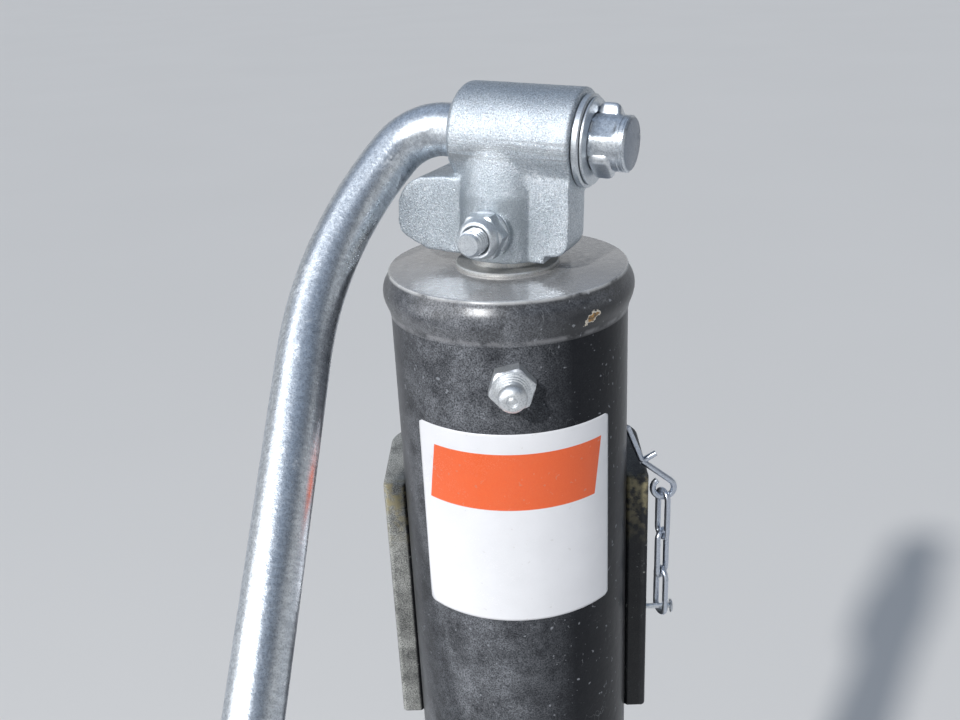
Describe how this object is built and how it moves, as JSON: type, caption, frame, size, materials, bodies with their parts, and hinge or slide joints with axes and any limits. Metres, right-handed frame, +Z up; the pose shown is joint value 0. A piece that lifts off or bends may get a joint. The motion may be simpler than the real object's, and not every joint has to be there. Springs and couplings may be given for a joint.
{
  "type": "trailer jack",
  "caption": "Round top-wind trailer jack with a fold-over crank handle, a sliding leg on a foot plate and a saddle that holds it to a trailer's frame.",
  "frame": {"origin": "centre of the saddle's flat back face", "axes": "+Z up along the tube, +Y towards the trailer out of the saddle's back face, +X to the right of someone facing the crank"},
  "size_m": [0.1563, 0.247, 0.5658],
  "materials": {
    "black_coat": "gloss",
    "zinc_cast": "satin",
    "zinc_bar": "satin",
    "zinc_bright": "gloss",
    "zinc_tube": "satin",
    "grip_plastic": "satin"
  },
  "bodies": {
    "root": {"outer_tube": "black_coat", "end_cap": "black_coat", "grease_fitting": "zinc_bright", "saddle_bracket": "black_coat", "thrust_collar": "zinc_bright", "spring_clip": "zinc_bright", "keeper_chain": "zinc_bright", "chain_stud": "zinc_bright"},
    "crank_head": {"head_casting": "zinc_cast", "head_bolt": "zinc_bright", "head_nut": "zinc_bright"},
    "handle": {"handle_bar": "zinc_bar", "handle_washers": "zinc_bright", "handle_grip": "grip_plastic", "grip_cap": "zinc_bright"},
    "leg": {"leg_tube": "zinc_tube", "foot_plate": "zinc_tube"}
  },
  "joints": [
    {"name": "crank_turn", "type": "hinge", "parent": "root", "child": "crank_head", "pos_m": [0, -0.03478, 0.0971], "axis": [0, 0, 1], "range_deg": [-7200, 10080]},
    {"name": "handle_fold", "type": "hinge", "parent": "crank_head", "child": "handle", "pos_m": [0.00188, -0.03327, 0.12693], "axis": [-0.9101, 0.4128, 0.0366], "range_deg": [0, 240]},
    {"name": "leg_slide", "type": "slide", "parent": "root", "child": "leg", "axis": [0, 0, -1], "range_m": [-0.1016, 0.14224]}
  ],
  "couplings": [
    {"joint": "leg_slide", "follows": "crank_turn", "m_per_rad": 0.00080851}
  ]
}
